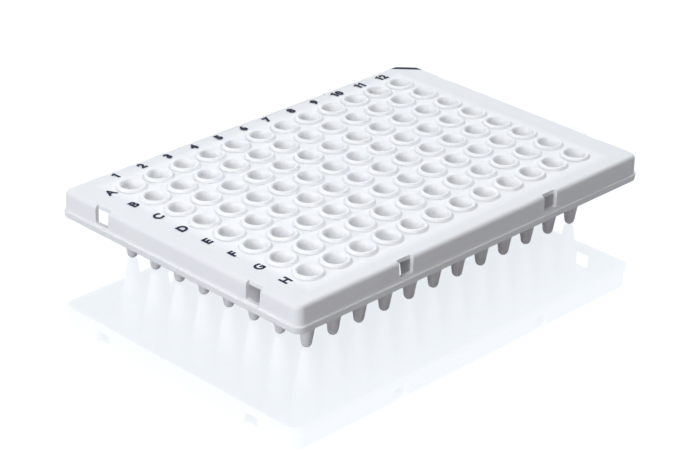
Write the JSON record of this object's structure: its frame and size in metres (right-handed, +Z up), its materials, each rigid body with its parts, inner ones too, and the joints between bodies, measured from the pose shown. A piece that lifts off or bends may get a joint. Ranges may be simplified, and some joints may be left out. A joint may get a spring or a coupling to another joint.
{
  "type": "well plate",
  "caption": "Half-skirted plate of tapered sample tubes moulded in one piece with a flat deck, raised well rims, a stepped skirt with notches and one cut corner.",
  "frame": {"origin": "centre of the plate's outline, on the surface that the tube tips stand on", "axes": "+X along a row of wells from the first column to the last, +Y along a column of wells from the last row to the first, +Z up out of the wells"},
  "size_m": [0.1278, 0.0854, 0.0206],
  "materials": {
    "white_polypropylene": "satin moulded polypropylene"
  },
  "bodies": {
    "root": {"plate": "white_polypropylene"}
  },
  "joints": []
}
